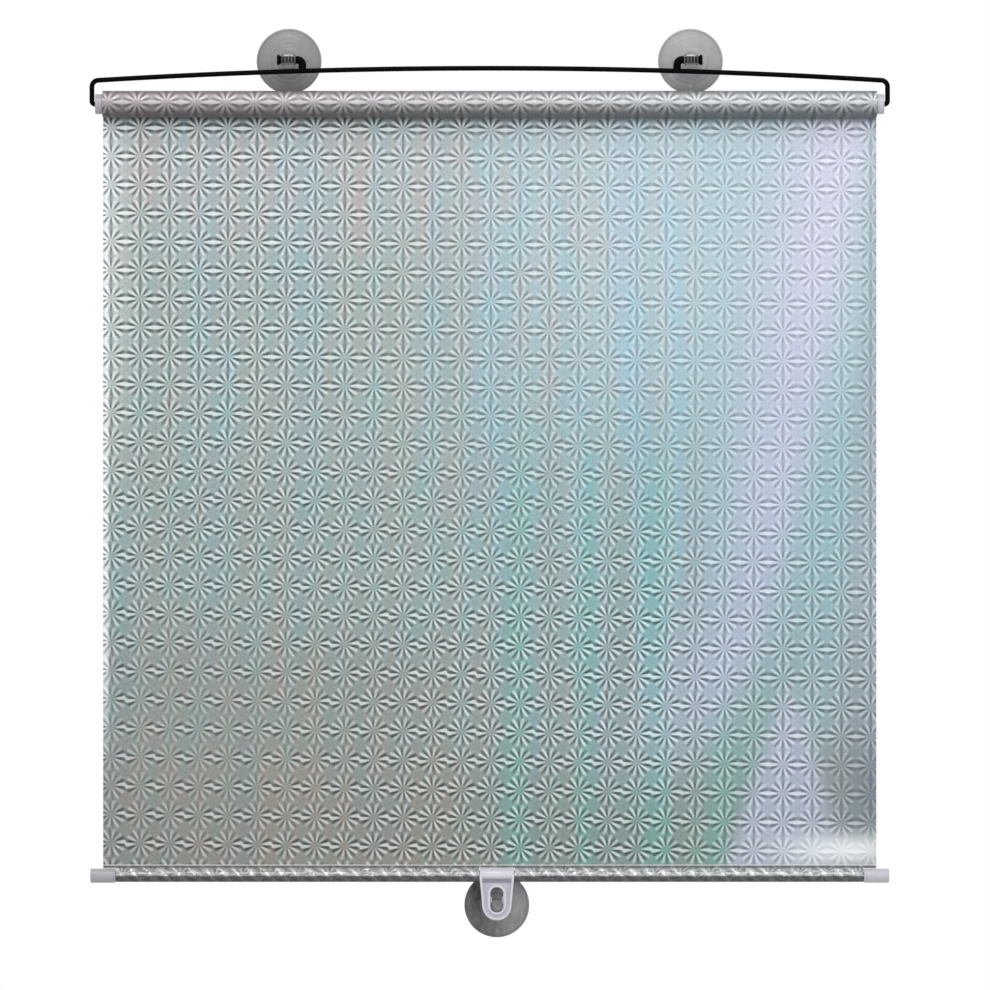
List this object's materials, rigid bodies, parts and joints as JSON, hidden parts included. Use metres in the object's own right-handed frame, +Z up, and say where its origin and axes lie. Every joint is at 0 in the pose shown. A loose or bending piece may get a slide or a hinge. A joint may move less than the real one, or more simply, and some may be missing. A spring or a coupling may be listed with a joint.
{
  "type": "suction cup roller blind",
  "caption": "Spring roller blind for a car window: patterned film on a roller in a wire bail, held to the glass by suction cups, with a pull clip on its bottom bar.",
  "frame": {"origin": "on the window glass, midway between the two upper cups", "axes": "+X along the roller, +Y towards the window glass, +Z up"},
  "size_m": [0.5168, 0.0276, 0.5885],
  "materials": {
    "cup_vinyl": "soft translucent vinyl, glossy",
    "dark_vinyl": "soft vinyl, glossy",
    "black_wire": "black plastic coat, satin",
    "star_film": "metallised film with a pattern of many-pointed stars",
    "pale_plastic": "moulded",
    "clip_plastic": "pale, slightly see-through, glossy",
    "steel": "plain"
  },
  "bodies": {
    "top_cups": {"top_cup_left": "cup_vinyl", "top_cup_right": "cup_vinyl"},
    "bail": {"wire_bail": "black_wire", "ratchet_shaft": "steel", "spring_mandrel": "pale_plastic", "torsion_spring": "steel", "film_sheet": "star_film"},
    "roller": {"roller_tube": "steel", "film_roll": "star_film", "idle_plug": "pale_plastic", "ratchet_plug": "pale_plastic", "pawl_pin_upper": "steel", "pawl_pin_lower": "steel", "spring_anchor": "pale_plastic"},
    "upper_pawl": {"pawl_upper": "steel"},
    "lower_pawl": {"pawl_lower": "steel"},
    "bar": {"bottom_bar": "pale_plastic", "film_hem": "star_film", "bar_cap_left": "pale_plastic", "bar_cap_right": "pale_plastic"},
    "clip": {"hook_clip": "clip_plastic"},
    "lower_cup": {"bottom_cup": "dark_vinyl"}
  },
  "joints": [
    {"name": "bail_swing", "type": "hinge", "parent": "top_cups", "child": "bail", "pos_m": [0, -0.019, 0], "axis": [-1, 0, 0], "range_deg": [0, 95]},
    {"name": "roller_turn", "type": "hinge", "parent": "bail", "child": "roller", "pos_m": [0, -0.019, -0.0286], "axis": [1, 0, 0], "range_deg": [0, 3025], "deforming": ["torsion_spring"]},
    {"name": "upper_pawl_swing", "type": "hinge", "parent": "roller", "child": "upper_pawl", "pos_m": [0.2409, -0.01601, -0.02609], "axis": [-1, 0, 0], "range_deg": [-17, 0]},
    {"name": "lower_pawl_swing", "type": "hinge", "parent": "roller", "child": "lower_pawl", "pos_m": [0.2409, -0.02199, -0.03111], "axis": [-1, 0, 0], "range_deg": [-17, 0]},
    {"name": "blind_draw", "type": "slide", "parent": "bail", "child": "bar", "axis": [0, 0, 1], "range_m": [0, 0.48], "deforming": ["film_sheet"]},
    {"name": "clip_swing", "type": "hinge", "parent": "bar", "child": "clip", "pos_m": [0.0046, -0.00989, -0.5272], "axis": [-1, 0, 0], "range_deg": [0, 90]},
    {"name": "bottom_cup_slide", "type": "slide", "parent": "clip", "child": "lower_cup", "axis": [0, 0, 1], "range_m": [0, 0.0065]}
  ],
  "couplings": [
    {"joint": "roller_turn", "follows": "blind_draw", "rad_per_m": 109.83}
  ]
}
